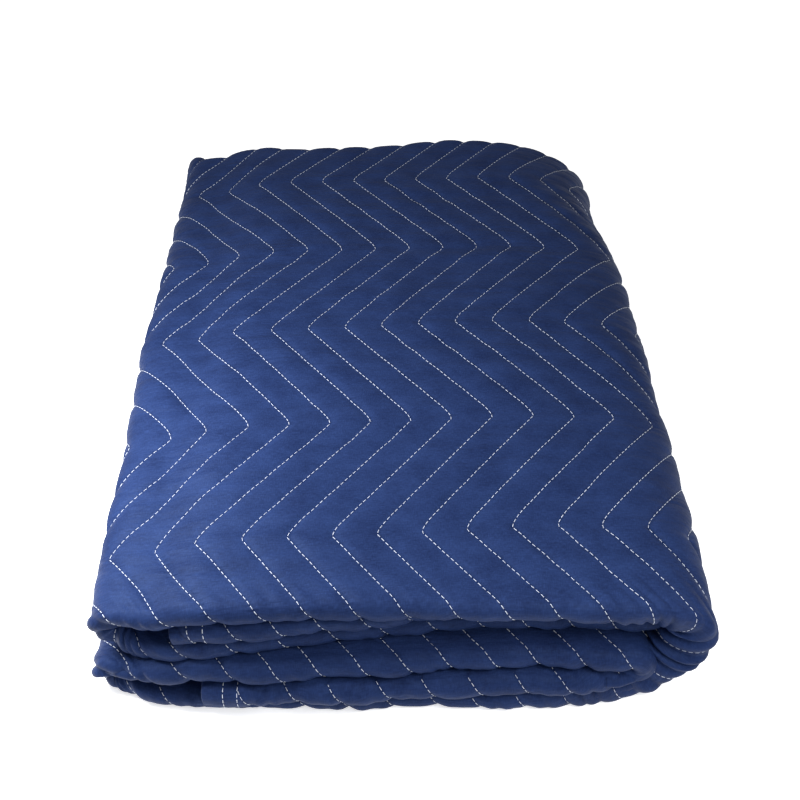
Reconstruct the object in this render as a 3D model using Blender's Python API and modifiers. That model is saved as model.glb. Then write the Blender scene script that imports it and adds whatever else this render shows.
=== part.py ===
"""Quilted moving blanket, folded into a flat stack.

The blanket is one sheet. It is first folded front to back into a strip of four plies. The strip's two
ends are then rolled in thirds towards its middle, and the two rolls are folded onto each other. That
gives six panels, seen from the front as six rounded bands, and five folds at the sides.

The flat sheet is a grid, cut along the stitch lines of the quilting where the quilting shows best. Each
of its points is moved to its place in the folds, and Solidify gives the sheet its thickness.

Frame: metres, +X right, +Y back, +Z up, the origin under the middle of the stack.
"""

from bisect import bisect_right
import math

import bmesh
import bpy
from mathutils import Vector

# Sheet and strip
SHEET = 0.0024                  # thickness of the quilted sheet
PLY_PITCH = 0.0031              # from one ply of the strip to the next
PANEL_PITCH = 0.0142            # from one panel of the stack to the next
OUTER_PLY = 1.5 * PLY_PITCH     # middle of an outer ply, from the strip's middle
INNER_PLY = 0.5 * PLY_PITCH
STRIP_HALF = OUTER_PLY + 0.5 * SHEET

# Quilting
STITCH_PITCH = 0.0254           # between neighbouring zigzag lines
ZIGZAG_SHIFT = 0.0705           # sideways swing of a zigzag line
TURN_SPACING = 0.0880           # between the rows of turns
FIRST_TURNS = -0.1775           # depth of the foremost row of turns, which point left
TURN_ROWS = [FIRST_TURNS + TURN_SPACING * row for row in range(5)]
ROW_SLANT = 0.0335              # the rows of turns run back towards the right
FIRST_LINE = -0.0080            # sideways place of one line at its left turns
QUILT_RISE = 0.0015             # height of the cloth halfway between two lines
CUT_REACH = 0.0004              # a point this close to a cut lies on it
FLAT_REACH = 0.0003             # a point this low lies on the surface below the stack

# Stack
FRONT = -0.2445
BACK = 0.2445
TOP_FRONT = -0.2275             # nominal front and back edge of the top panel
TOP_BACK = 0.2380
LEVEL_LEFT = -0.100             # left of this the panels sink to their left folds
RIGHT_SINK_START = 0.080        # behind this the big right fold sinks and draws in
RIGHT_SINK_END = 0.240

# Free ends of the strip, and how far its two hems stay short of the back edge
FREE_END = {"second": -0.1200, "fifth": -0.1060}
OUTER_HEM_INSET = 0.002
INNER_HEM_INSET = 0.004

# Panels: number in the stack from the bottom, height of the middle at the left end, front edge at
# left and right, back edge at left and right
PANEL_COLUMNS = ("level", "left_height", "front_left", "front_right", "back_left", "back_right")
PANELS = {
    "top": (5, 0.0680, -0.2265, -0.2285, 0.2260, 0.2375),
    "second": (4, 0.0588, -0.2300, -0.2140, 0.2350, 0.2330),
    "third": (3, 0.0400, -0.2290, -0.2145, 0.2385, 0.2360),
    "fourth": (2, 0.0235, -0.2385, -0.2345, 0.2370, 0.2320),
    "fifth": (1, 0.0199, -0.2455, -0.2380, 0.2310, 0.2350),
    "bottom": (0, STRIP_HALF, -0.2330, -0.2405, 0.2360, 0.2360),
}
RIGHTWARDS = ("second", "top", "fourth")    # panels that the strip runs along from left to right

# Folds: where their upper and lower panel end, their outermost place and its height, all of the
# strip's middle, and how far they draw in at the front and the back. One table holds for the front of
# the stack and one for its back.
FOLD_COLUMNS = ("upper_x", "out_x", "out_z", "lower_x", "front_inset", "back_inset")
FOLDS_FRONT = {
    "inner_upper_right": (0.1340, 0.1411, 0.05565, 0.1340, 0.002, 0.003),
    "upper_left": (-0.1370, -0.1610, 0.0535, -0.1400, 0.006, 0.012),
    "big_right": (0.1170, 0.1725, 0.0550, 0.1220, 0.003, 0.014),
    "lower_left": (-0.1530, -0.1630, 0.0147, -0.1530, 0.003, 0.004),
    "inner_lower_right": (0.1320, 0.1391, 0.02725, 0.1320, 0.002, 0.003),
}
FOLDS_BACK = {
    "inner_upper_right": (0.0940, 0.1011, 0.05565, 0.0940, 0.002, 0.003),
    "upper_left": (-0.1530, -0.1750, 0.0535, -0.1560, 0.006, 0.012),
    "big_right": (0.0770, 0.1520, 0.0330, 0.1220, 0.003, 0.014),
    "lower_left": (-0.1640, -0.1740, 0.0147, -0.1640, 0.003, 0.004),
    "inner_lower_right": (0.0920, 0.0991, 0.02725, 0.0920, 0.002, 0.003),
}

# Course of the strip from one free end to the other: what it runs along, what comes before and after,
# and into how many steps its level stretch, or each half of a fold, is divided
COURSE = (
    ("panel", "second", None, "inner_upper_right", 2),
    ("fold", "inner_upper_right", "second", "third", 3),
    ("panel", "third", "inner_upper_right", "upper_left", 2),
    ("fold", "upper_left", "third", "top", 3),
    ("panel", "top", "upper_left", "big_right", 2),
    ("fold", "big_right", "top", "bottom", 4),
    ("panel", "bottom", "big_right", "lower_left", 2),
    ("fold", "lower_left", "bottom", "fourth", 3),
    ("panel", "fourth", "lower_left", "inner_lower_right", 2),
    ("fold", "inner_lower_right", "fourth", "fifth", 3),
    ("panel", "fifth", "inner_lower_right", None, 2),
)
SINK_STEPS = 3
HIDDEN_FIRST_TURNS = 2          # the hidden plies have grid rows from the third row of turns on
FRONT_STEPS = 5                 # round the outer front fold
SMALL_STEPS = 3                 # round the inner front fold and the back fold

NAVY = (0.030, 0.052, 0.150, 1.0)
COLLECTION = "folded_moving_blanket"


def smoothstep(value):
    value = max(0.0, min(1.0, value))
    return value * value * (3.0 - 2.0 * value)


def mix(start, end, share):
    return start + (end - start) * share


def panel_value(panel, column):
    return PANELS[panel][PANEL_COLUMNS.index(column)]


def panel_height(panel):
    return STRIP_HALF + PANEL_PITCH * panel_value(panel, "level")


def fold_value(fold, column, depth):
    """Value of a fold at a depth: left folds change evenly, right folds only near the back."""
    if fold.endswith("left"):
        share = (depth - FRONT) / (BACK - FRONT)
    else:
        share = smoothstep((depth - RIGHT_SINK_START) / (RIGHT_SINK_END - RIGHT_SINK_START))
    index = FOLD_COLUMNS.index(column)
    return mix(FOLDS_FRONT[fold][index], FOLDS_BACK[fold][index], share)


def panel_course(panel, before, after, steps, depth):
    """Middle of the strip along a panel: level on the right, and sinking to the panel's left end."""
    column = "upper_x" if panel in RIGHTWARDS else "lower_x"
    ends = [fold_value(fold, column, depth) if fold else FREE_END[panel] for fold in (before, after)]
    left, right = min(ends), max(ends)
    across = [mix(left, LEVEL_LEFT, step / SINK_STEPS) for step in range(SINK_STEPS)]
    across += [mix(LEVEL_LEFT, right, step / steps) for step in range(steps + 1)]
    places = []
    for x in across:
        rise = smoothstep((x - left) / (LEVEL_LEFT - left))
        places.append((x, mix(panel_value(panel, "left_height"), panel_height(panel), rise)))
    return places if panel in RIGHTWARDS else places[::-1]


def fold_course(fold, before, after, steps, depth):
    """Middle of the strip round a fold: two quarters of ellipses that meet at its outermost place."""
    out_x = fold_value(fold, "out_x", depth)
    out_z = fold_value(fold, "out_z", depth)
    if fold.endswith("right"):
        upper_z, lower_z = panel_height(before), panel_height(after)
    else:
        upper_z, lower_z = panel_value(after, "left_height"), panel_value(before, "left_height")
    upper_x = fold_value(fold, "upper_x", depth)
    lower_x = fold_value(fold, "lower_x", depth)
    angles = [0.5 * math.pi * step / steps for step in range(1, steps + 1)]
    places = [(mix(upper_x, out_x, math.sin(angle)), mix(out_z, upper_z, math.cos(angle)))
              for angle in angles]
    places += [(mix(lower_x, out_x, math.cos(angle)), mix(out_z, lower_z, math.sin(angle)))
               for angle in angles[:-1]]
    return places if fold.endswith("right") else places[::-1]


def strip_course(depth):
    """Places of the strip's middle at one depth, and at each its direction towards the outer ply."""
    places = []
    for kind, name, before, after, steps in COURSE:
        run = panel_course if kind == "panel" else fold_course
        places += run(name, before, after, steps, depth)
    points = [Vector(place) for place in places]
    course = []
    for index, point in enumerate(points):
        arriving = (point - points[max(index - 1, 0)]).normalized()
        leaving = (points[min(index + 1, len(points) - 1)] - point).normalized()
        along = (arriving + leaving).normalized()
        course.append((point, Vector((-along.y, along.x))))
    return course


def strip_edges():
    """Front and back edge of the strip at each place of its course."""
    edges = []
    for kind, name, before, after, steps in COURSE:
        if kind == "panel":
            count = SINK_STEPS + steps
            shares = [step / count for step in range(count + 1)]
            shares = shares if name in RIGHTWARDS else shares[::-1]
            ends = [(panel_value(name, edge + "_left"), panel_value(name, edge + "_right"))
                    for edge in ("front", "back")]
            edges += [tuple(mix(left, right, share) for left, right in ends) for share in shares]
            continue
        side = "_right" if name.endswith("right") else "_left"
        for step in range(1, 2 * steps):
            share = step / (2 * steps)
            inset = math.sin(math.pi * share)
            front = mix(panel_value(before, "front" + side), panel_value(after, "front" + side), share)
            back = mix(panel_value(before, "back" + side), panel_value(after, "back" + side), share)
            edges.append((front + inset * FOLDS_FRONT[name][FOLD_COLUMNS.index("front_inset")],
                          back - inset * FOLDS_FRONT[name][FOLD_COLUMNS.index("back_inset")]))
    return edges


def ply_rows(height, backwards, first_turns=0):
    rows = [(height, "turns", depth) for depth in TURN_ROWS[first_turns:]]
    return rows if backwards else rows[::-1]


def bend_rows(middle, radius, edge, reach, steps, upwards):
    """Rows round a fold of the strip's section: a half circle that touches an edge of the strip."""
    rows = []
    for step in range(steps + 1):
        angle = math.pi * (step / steps - 0.5)
        height = middle + radius * math.sin(angle if upwards else -angle)
        rows.append((height, edge, reach + radius * (1.0 - math.cos(angle))))
    return rows


def section_rows():
    """Rows of the flat sheet: height in the strip, then a row of turns, or a distance from an edge.

    From a hem at the back the sheet runs to the front on the strip's inner side, round the outer front
    fold, to the back on the outer side, round the back fold, to the front once more, round the inner
    front fold, and back to its other hem.
    """
    half = 0.5 * SHEET
    rows = [(-OUTER_PLY, "back", OUTER_HEM_INSET)]
    rows += ply_rows(-OUTER_PLY, False, HIDDEN_FIRST_TURNS)
    rows += bend_rows(0.0, OUTER_PLY, "front", half, FRONT_STEPS, True)
    rows += ply_rows(OUTER_PLY, True)
    rows += bend_rows(PLY_PITCH, INNER_PLY, "back", half, SMALL_STEPS, False)
    rows += ply_rows(INNER_PLY, False, HIDDEN_FIRST_TURNS)
    rows += bend_rows(0.0, INNER_PLY, "front", half + OUTER_PLY - INNER_PLY, SMALL_STEPS, False)
    rows += ply_rows(-INNER_PLY, True, HIDDEN_FIRST_TURNS)
    rows.append((-INNER_PLY, "back", INNER_HEM_INSET))
    return rows


def nominal_depth(row):
    height, kind, value = row
    if kind == "turns":
        return value
    return TOP_FRONT + value if kind == "front" else TOP_BACK - value


def running_lengths(points):
    """Distance run along a line of points, at each of them."""
    lengths = [0.0]
    for before, after in zip(points, points[1:]):
        lengths.append(lengths[-1] + (Vector(after) - Vector(before)).length)
    return lengths


def cell_at(lengths, at):
    """Number of the cell that holds a length, and the share of the cell before it."""
    index = min(max(bisect_right(lengths, at) - 1, 0), len(lengths) - 2)
    return index, (at - lengths[index]) / (lengths[index + 1] - lengths[index])


class FoldedSheet:
    """The flat sheet's columns and rows, and the place in the folds of any point on it."""

    def __init__(self):
        self.edges = strip_edges()
        self.rows = section_rows()
        front_course = [point for point, outward in strip_course(FRONT)]
        self.columns_at = running_lengths(front_course)
        self.rows_at = running_lengths([(nominal_depth(row), row[0]) for row in self.rows])
        level = min(range(len(front_course)), key=lambda index: (
            abs(front_course[index].x - LEVEL_LEFT) + abs(front_course[index].y - panel_height("top"))))
        self.across_zero = self.columns_at[level] - LEVEL_LEFT
        first_ply = 1 + len(TURN_ROWS) - HIDDEN_FIRST_TURNS + FRONT_STEPS
        self.outer_rows = range(first_ply, first_ply + len(TURN_ROWS) + 2)
        self.grid = [[self.grid_place(column, row) for row in self.rows]
                     for column in range(len(self.edges))]

    def grid_place(self, column, row):
        """Place of a grid point, and its direction towards the outside."""
        height, kind, value = row
        front, back = self.edges[column]
        if kind == "turns":
            x = strip_course(value)[column][0].x
            y = value + ROW_SLANT * x
        else:
            y = front + value if kind == "front" else back - value
        middle, outward = strip_course(y)[column]
        flat = middle + outward * height
        return Vector((flat.x, y, flat.y)), Vector((outward.x, 0.0, outward.y))

    def backwards(self, row):
        """Whether the sheet runs towards the back from a row to the next."""
        return nominal_depth(self.rows[row + 1]) > nominal_depth(self.rows[row])

    def place(self, at):
        """Place in the folds of a point of the flat sheet, on the triangle of its cell that holds it."""
        column, across = cell_at(self.columns_at, at.x)
        row, along = cell_at(self.rows_at, at.y)
        if not self.backwards(row):
            near, far, deep = row + 1, row, 1.0 - along
        else:
            near, far, deep = row, row + 1, along
        start, end = self.grid[column][near], self.grid[column + 1][far]
        corner = self.grid[column + 1][near] if across > deep else self.grid[column][far]
        shares = (1.0 - max(across, deep), min(across, deep), abs(across - deep))
        place, outward = [start[part] * shares[0] + end[part] * shares[1] + corner[part] * shares[2]
                          for part in (0, 1)]
        return place + outward.normalized() * self.quilt_height(at)

    def depth(self, at_row):
        """Depth of the outer ply at a length along the sheet."""
        first = self.outer_rows[0]
        return nominal_depth(self.rows[first]) + at_row - self.rows_at[first]

    def quilted_span(self):
        """Part of the sheet's length with cut quilting: the top panel and a little of its folds."""
        left_end = self.across_zero + FOLDS_FRONT["upper_left"][FOLD_COLUMNS.index("upper_x")]
        right_end = self.across_zero + FOLDS_FRONT["big_right"][FOLD_COLUMNS.index("upper_x")]
        return left_end - 0.5 * STITCH_PITCH, right_end + STITCH_PITCH

    def quilt_height(self, at):
        """Rise of the cloth between the stitch lines, fading out at the edges of the quilted part."""
        left_end, right_end = self.quilted_span()
        first, last = self.rows_at[self.outer_rows[0]], self.rows_at[self.outer_rows[-1]]
        inside = min(at.x - left_end, right_end - at.x, at.y - first, last - at.y)
        fade = max(0.0, min(1.0, inside / STITCH_PITCH))
        place = (at.x - self.across_zero - FIRST_LINE - line_shift(self.depth(at.y))) / STITCH_PITCH
        return QUILT_RISE * fade * 2.0 * abs(place - round(place))


def line_shift(depth):
    """Sideways shift of a zigzag line at a depth, none at its left turns and whole at its right ones."""
    turns = (depth - FIRST_TURNS) / TURN_SPACING
    return ZIGZAG_SHIFT * (1.0 - abs(turns % 2.0 - 1.0))


def cut_quilting(mesh, sheet):
    """Cut the flat sheet along the stitch lines and halfway between them, band by band of turns."""
    left_end, right_end = sheet.quilted_span()
    half_pitch = 0.5 * STITCH_PITCH
    first_line = sheet.across_zero + FIRST_LINE
    for row in sheet.outer_rows[:-1]:
        near, far = sheet.rows_at[row], sheet.rows_at[row + 1]
        near_shift, far_shift = line_shift(sheet.depth(near)), line_shift(sheet.depth(far))
        start = math.floor((left_end - first_line - ZIGZAG_SHIFT) / half_pitch)
        end = math.ceil((right_end - first_line) / half_pitch)
        for line in range(start, end + 1):
            near_point = Vector((first_line + line * half_pitch + near_shift, near, 0.0))
            far_point = Vector((first_line + line * half_pitch + far_shift, far, 0.0))
            along = far_point - near_point
            low, high = sorted((near_point.x, far_point.x))
            band = [face for face in mesh.faces if near < face.calc_center_median().y < far
                    and max(left_end, low) < max(corner.co.x for corner in face.verts)
                    and min(corner.co.x for corner in face.verts) < min(right_end, high)]
            geometry = set(band)
            for face in band:
                geometry.update(face.edges)
                geometry.update(face.verts)
            bmesh.ops.bisect_plane(mesh, geom=list(geometry), dist=CUT_REACH, plane_co=near_point,
                                   plane_no=Vector((along.y, -along.x, 0.0)).normalized())


def flat_sheet(sheet):
    """Grid of the whole flat sheet, at its lengths, each cell split alike in all plies of the strip."""
    mesh = bmesh.new()
    columns, rows = len(sheet.columns_at), len(sheet.rows_at)
    bmesh.ops.create_grid(mesh, x_segments=columns - 1, y_segments=rows - 1, size=1.0)
    for vertex in mesh.verts:
        column = round((vertex.co.x + 1.0) / 2.0 * (columns - 1))
        row = round((vertex.co.y + 1.0) / 2.0 * (rows - 1))
        vertex.co = (sheet.columns_at[column], sheet.rows_at[row], 0.0)
    for cell in list(mesh.faces):
        row = cell_at(sheet.rows_at, cell.calc_center_median().y)[0]
        sign = 1.0 if sheet.backwards(row) else -1.0
        corners = sorted(cell.verts, key=lambda corner: corner.co.x + sign * corner.co.y)
        bmesh.utils.face_split(cell, corners[0], corners[-1])
    return mesh


def centre_over_origin(mesh):
    for axis in (0, 1):
        places = [vertex.co[axis] for vertex in mesh.verts]
        middle = 0.5 * (min(places) + max(places))
        for vertex in mesh.verts:
            vertex.co[axis] -= middle


def navy_cloth():
    finish = bpy.data.materials.new("navy_quilted_cloth")
    finish.use_nodes = True
    shader = finish.node_tree.nodes["Principled BSDF"]
    shader.inputs["Base Color"].default_value = NAVY
    shader.inputs["Roughness"].default_value = 0.85
    shader.inputs["Metallic"].default_value = 0.0
    return finish


def build_blanket(collection):
    sheet = FoldedSheet()
    mesh = flat_sheet(sheet)
    cut_quilting(mesh, sheet)
    bmesh.ops.triangulate(mesh, faces=mesh.faces)
    for vertex in mesh.verts:
        vertex.co = sheet.place(vertex.co)
    centre_over_origin(mesh)
    bmesh.ops.recalc_face_normals(mesh, faces=mesh.faces)
    data = bpy.data.meshes.new("quilted_blanket")
    mesh.to_mesh(data)
    mesh.free()
    blanket = bpy.data.objects.new("quilted_blanket", data)
    collection.objects.link(blanket)
    data.materials.append(navy_cloth())
    data.shade_smooth()
    solid = blanket.modifiers.new("sheet thickness", "SOLIDIFY")
    solid.thickness = SHEET
    solid.offset = 0.0
    flatten_underside(blanket)


def flatten_underside(blanket):
    """Apply the thickness, and press what is close to the surface that the stack rests on flat onto it."""
    seen = blanket.evaluated_get(bpy.context.evaluated_depsgraph_get())
    solid = bpy.data.meshes.new_from_object(seen)
    blanket.modifiers.clear()
    blanket.data = solid
    for vertex in solid.vertices:
        if vertex.co.z < FLAT_REACH:
            vertex.co.z = 0.0


def main():
    for old in list(bpy.data.objects):
        bpy.data.objects.remove(old)
    collection = bpy.data.collections.new(COLLECTION)
    bpy.context.scene.collection.children.link(collection)
    build_blanket(collection)


main()
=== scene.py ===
"""Looks of the folded moving blanket.

The whole blanket is one quilted sheet, laid out on a lattice whose columns follow the zigzag stitch lines.
Each lattice point is carried through the same folds as in the part's source, then the quilting, wrinkles
and pleats are raised on it. The stitches are small pieces of thread that lie in the sewn valleys.

Everything is in metres, in the frame of the part: +X right, +Y back, +Z up.
"""

import math

import bpy
import numpy as np
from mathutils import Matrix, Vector

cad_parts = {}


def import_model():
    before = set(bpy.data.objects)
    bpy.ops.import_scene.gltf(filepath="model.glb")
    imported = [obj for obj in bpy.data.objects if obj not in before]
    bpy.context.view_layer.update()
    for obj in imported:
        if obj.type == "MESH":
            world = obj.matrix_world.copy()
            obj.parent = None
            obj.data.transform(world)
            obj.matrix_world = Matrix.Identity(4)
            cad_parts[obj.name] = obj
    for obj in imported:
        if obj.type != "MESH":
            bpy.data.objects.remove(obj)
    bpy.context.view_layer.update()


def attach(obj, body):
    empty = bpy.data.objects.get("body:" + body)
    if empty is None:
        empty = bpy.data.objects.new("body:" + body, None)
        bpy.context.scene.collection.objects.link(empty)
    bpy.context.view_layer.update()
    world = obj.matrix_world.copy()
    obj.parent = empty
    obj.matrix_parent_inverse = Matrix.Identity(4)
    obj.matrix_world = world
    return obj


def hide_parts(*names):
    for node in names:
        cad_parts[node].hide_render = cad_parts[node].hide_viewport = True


# Sheet and strip, a little fuller than the solid, so that the layers touch
SHEET = 0.0033
PLY_PITCH = 0.0034
PANEL_PITCH = 0.0142
OUTER_PLY = 1.5 * PLY_PITCH
INNER_PLY = 0.5 * PLY_PITCH
STRIP_HALF = OUTER_PLY + 0.5 * SHEET
CENTRE = (0.0009, 0.0035)       # the stack's middle over the origin

# Quilting
STITCH_PITCH = 0.0254
ZIGZAG_SHIFT = 0.0705
TURN_SPACING = 0.0880
FIRST_TURNS = -0.1775
TURN_ROWS = 5
ROW_SLANT = 0.0335
SLANT_REACH = 0.200             # the rows of turns slant this far to either side of the top's middle
FIRST_LINE = -0.0080
TURN_EASE = 0.0042              # behind each turn a line starts straight back and eases into its slope
VALLEY_DEPTH = 0.00115
VALLEY_WIDTH = 0.0030
CROWN_RISE = 0.00050
SEWN_IN = 0.0004                # how far the stitch lines lie below the plain sheet's surface

# Stack
LEVEL_LEFT = -0.100
RIGHT_SINK_START = 0.080
RIGHT_SINK_END = 0.240
FRONT = -0.2445
BACK = 0.2445
NOMINAL_FRONT = -0.2300
FREE_END = {"second": -0.1200, "fifth": -0.1060}
OUTER_HEM_INSET = 0.002
INNER_HEM_INSET = 0.004
HEM_ROUNDING = 0.0011           # how far the sheet's edges bulge out

PANEL_COLUMNS = ("level", "left_height")
PANELS = {
    "top": (5, 0.0685),
    "second": (4, 0.0590),
    "third": (3, 0.0405),
    "fourth": (2, 0.0245),
    "fifth": (1, 0.0208),
    "bottom": (0, STRIP_HALF),
}
# Front and back edge of each panel at these places from left to right
EDGE_PLACES = (-0.150, -0.125, -0.105, -0.085, -0.065, -0.040, -0.015, 0.010, 0.035, 0.060, 0.090, 0.120)
FRONT_EDGES = {
    "top": (-0.2262, -0.2264, -0.2276, -0.2266, -0.2255, -0.2251, -0.2249, -0.2264, -0.2292, -0.2284, -0.2288,
            -0.2275),
    "second": (-0.2280, -0.2285, -0.2306, -0.2300, -0.2288, -0.2240, -0.2224, -0.2195, -0.2156, -0.2150, -0.2145,
               -0.2140),
    "third": (-0.2258, -0.2270, -0.2320, -0.2304, -0.2272, -0.2240, -0.2195, -0.2160, -0.2150, -0.2145, -0.2157,
              -0.2160),
    "fourth": (-0.2365, -0.2370, -0.2402, -0.2402, -0.2377, -0.2362, -0.2352, -0.2316, -0.2321, -0.2308, -0.2316,
               -0.2320),
    "fifth": (-0.2460, -0.2460, -0.2465, -0.2467, -0.2462, -0.2445, -0.2440, -0.2444, -0.2421, -0.2427, -0.2404,
              -0.2396),
    "bottom": (-0.2280, -0.2352, -0.2405, -0.2412, -0.2403, -0.2396, -0.2402, -0.2405, -0.2404, -0.2400, -0.2404,
               -0.2410),
}
BACK_EDGES = {
    "top": (0.2280, 0.2278, 0.2262, 0.2236, 0.2238, 0.2248, 0.2268, 0.2302, 0.2330, 0.2332, 0.2320, 0.2310),
    "second": (0.2350,) * 6 + (0.2330,) * 6,
    "third": (0.2385,) * 4 + (0.2372,) * 4 + (0.2360,) * 4,
    "fourth": (0.2370,) * 4 + (0.2345,) * 4 + (0.2320,) * 4,
    "fifth": (0.2310,) * 6 + (0.2350,) * 6,
    "bottom": (0.2360,) * 12,
}
RIGHTWARDS = ("second", "top", "fourth")

FOLD_COLUMNS = ("upper_x", "out_x", "out_z", "lower_x", "front_inset", "back_inset")
FOLDS_FRONT = {
    "inner_upper_right": (0.1350, 0.1520, 0.0566, 0.1350, 0.002, 0.003),
    "upper_left": (-0.1370, -0.1585, 0.0540, -0.1400, 0.006, 0.012),
    "big_right": (0.1170, 0.1740, 0.0550, 0.1220, 0.003, 0.014),
    "lower_left": (-0.1560, -0.1660, 0.0156, -0.1560, 0.003, 0.004),
    "inner_lower_right": (0.1340, 0.1425, 0.0282, 0.1340, 0.002, 0.003),
}
FOLDS_BACK = {
    "inner_upper_right": (0.1060, 0.1135, 0.0556, 0.1060, 0.002, 0.003),
    "upper_left": (-0.1530, -0.1745, 0.0540, -0.1560, 0.006, 0.012),
    "big_right": (0.0770, 0.1520, 0.0340, 0.1220, 0.003, 0.014),
    "lower_left": (-0.1630, -0.1730, 0.0156, -0.1630, 0.003, 0.004),
    "inner_lower_right": (0.1150, 0.1225, 0.0282, 0.1150, 0.002, 0.003),
}
# The outline of the two folds that show from above, in or out from the even run of the tables above
OUTLINE_DEPTHS = (-0.245, -0.200, -0.150, -0.100, -0.050, 0.000, 0.050, 0.100, 0.150, 0.200, 0.245)
OUTLINE = {
    "upper_left": (-0.0010, -0.0024, -0.0028, -0.0030, -0.0042, -0.0056, -0.0042, -0.0020, -0.0006, 0.0, 0.0),
    "big_right": (-0.0030, -0.0020, -0.0004, -0.0010, -0.0040, -0.0026, -0.0048, -0.0076, -0.0060, 0.0070, 0.0090),
}
COURSE = (
    ("panel", "second", None, "inner_upper_right"),
    ("fold", "inner_upper_right", "second", "third"),
    ("panel", "third", "inner_upper_right", "upper_left"),
    ("fold", "upper_left", "third", "top"),
    ("panel", "top", "upper_left", "big_right"),
    ("fold", "big_right", "top", "bottom"),
    ("panel", "bottom", "big_right", "lower_left"),
    ("fold", "lower_left", "bottom", "fourth"),
    ("panel", "fourth", "lower_left", "inner_lower_right"),
    ("fold", "inner_lower_right", "fourth", "fifth"),
    ("panel", "fifth", "inner_lower_right", None),
)
PANEL_POINTS = 60               # of the polyline that follows the strip's middle
FOLD_POINTS = 60
FREE_END_SPARE = 0.090          # the polyline runs on past the free ends
DEPTH_STEP = 0.004              # between two such polylines

# Lattice: columns between two stitch lines, and rows in each stretch of the strip's section
COLUMNS_PER_PITCH = 12
COARSE = 8                      # every eighth row and column is kept where nothing shows
SECTION = (
    # stretch, rows
    ("lower", 96),
    ("front_fold", 16),
    ("upper", 160),
    ("back_fold", 8),
    ("inner_upper", 96),
    ("inner_fold", 8),
    ("inner_lower", 96),
)
UPPER_BANDS = (16, 32, 32, 32, 32, 16)   # rows of "upper" before, between and behind the rows of turns

# Where the doubled front edge goes round a fold, its inner side is pushed in and drawn back, and it is
# gathered in pleats: from how far before the fold to how far behind it, how far it is pushed in and drawn
# back, the length of a pleat, its height on the inner and outer side, and how deep the pleats reach
GATHER_COLUMNS = ("before", "after", "inward", "back", "pleat", "inner_rise", "outer_rise", "reach")
GATHERS = {
    "inner_upper_right": (0.012, 0.010, 0.0, 0.0010, 0.0080, 0.0008, 0.0005, 0.014),
    "upper_left": (0.014, 0.016, 0.0035, 0.0060, 0.0092, 0.0017, 0.0006, 0.022),
    "big_right": (0.020, 0.030, 0.0095, 0.0080, 0.0112, 0.0026, 0.0007, 0.034),
    "lower_left": (0.046, 0.010, 0.0010, 0.0040, 0.0084, 0.0022, 0.0016, 0.026),
    "inner_lower_right": (0.012, 0.010, 0.0, 0.0020, 0.0080, 0.0014, 0.0010, 0.014),
}
HEM_DROOP = 0.0050              # of the lower free end's front edge


def smoothstep(value):
    value = np.clip(value, 0.0, 1.0)
    return value * value * (3.0 - 2.0 * value)


def mix(start, end, share):
    return start + (end - start) * share


def panel_value(panel, column):
    return PANELS[panel][PANEL_COLUMNS.index(column)]


def gather_value(fold, column):
    return GATHERS[fold][GATHER_COLUMNS.index(column)]


def panel_height(panel):
    return STRIP_HALF + PANEL_PITCH * panel_value(panel, "level")


def fold_value(fold, column, depth):
    if fold.endswith("left"):
        share = (depth - FRONT) / (BACK - FRONT)
    else:
        share = float(smoothstep((depth - RIGHT_SINK_START) / (RIGHT_SINK_END - RIGHT_SINK_START)))
    index = FOLD_COLUMNS.index(column)
    value = mix(FOLDS_FRONT[fold][index], FOLDS_BACK[fold][index], share)
    if column == "out_x" and fold in OUTLINE:
        value += float(np.interp(depth, OUTLINE_DEPTHS, OUTLINE[fold]))
    return value


def top_swell(x, depth):
    """Unevenness of the top panel's height; the panels below share it by their level."""
    across = np.clip((x + 0.008) / 0.17, -0.54, 0.80)
    along = (depth + 0.0075) / 0.23
    return (0.0044 * across + 0.0062 * across ** 2 - 0.0021 * across ** 3 - 0.0225 * across ** 4
            + 0.0017 * along ** 2 - 0.0027 * across * along
            + 0.0004 * np.sin(31.0 * x + 17.0 * depth + 0.6) + 0.0003 * np.sin(23.0 * x - 29.0 * depth))


def panel_run(panel, before, after, depth):
    """Places along a panel's middle: level at its right, and sinking to its left end."""
    column = "upper_x" if panel in RIGHTWARDS else "lower_x"
    ends = [fold_value(fold, column, depth) if fold else FREE_END[panel] - FREE_END_SPARE
            for fold in (before, after)]
    left, right = min(ends), max(ends)
    x = np.linspace(left, right, PANEL_POINTS)
    sunk = FREE_END.get(panel, left)
    rise = smoothstep((x - sunk) / (LEVEL_LEFT - sunk))
    z = mix(panel_value(panel, "left_height"), panel_height(panel), rise)
    z = z + top_swell(x, depth) * panel_value(panel, "level") / 5.0
    places = np.stack([x, z], axis=1)
    return places if panel in RIGHTWARDS else places[::-1]


def fold_run(fold, start, end, depth):
    """Places round a fold, two quarters of ellipses between the ends of its panels."""
    out = (fold_value(fold, "out_x", depth), fold_value(fold, "out_z", depth))
    angles = np.linspace(0.0, 0.5 * math.pi, FOLD_POINTS // 2 + 1)
    first = np.stack([mix(start[0], out[0], np.sin(angles)), mix(out[1], start[1], np.cos(angles))], axis=1)
    second = np.stack([mix(end[0], out[0], np.cos(angles)), mix(out[1], end[1], np.sin(angles))], axis=1)
    return np.concatenate([first[1:], second[1:-1]])


def strip_polyline(depth):
    """Middle of the strip at one depth, from end to end, and the index where each stretch starts."""
    runs = [None if kind == "fold" else panel_run(name, before, after, depth)
            for kind, name, before, after in COURSE]
    for index, (kind, name, before, after) in enumerate(COURSE):
        if kind == "fold":
            runs[index] = fold_run(name, runs[index - 1][-1], runs[index + 1][0], depth)
    starts = np.cumsum([0] + [len(run) for run in runs])
    return np.concatenate(runs), starts


def lengths_of(points):
    return np.concatenate([[0.0], np.cumsum(np.linalg.norm(np.diff(points, axis=0), axis=1))])


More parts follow.
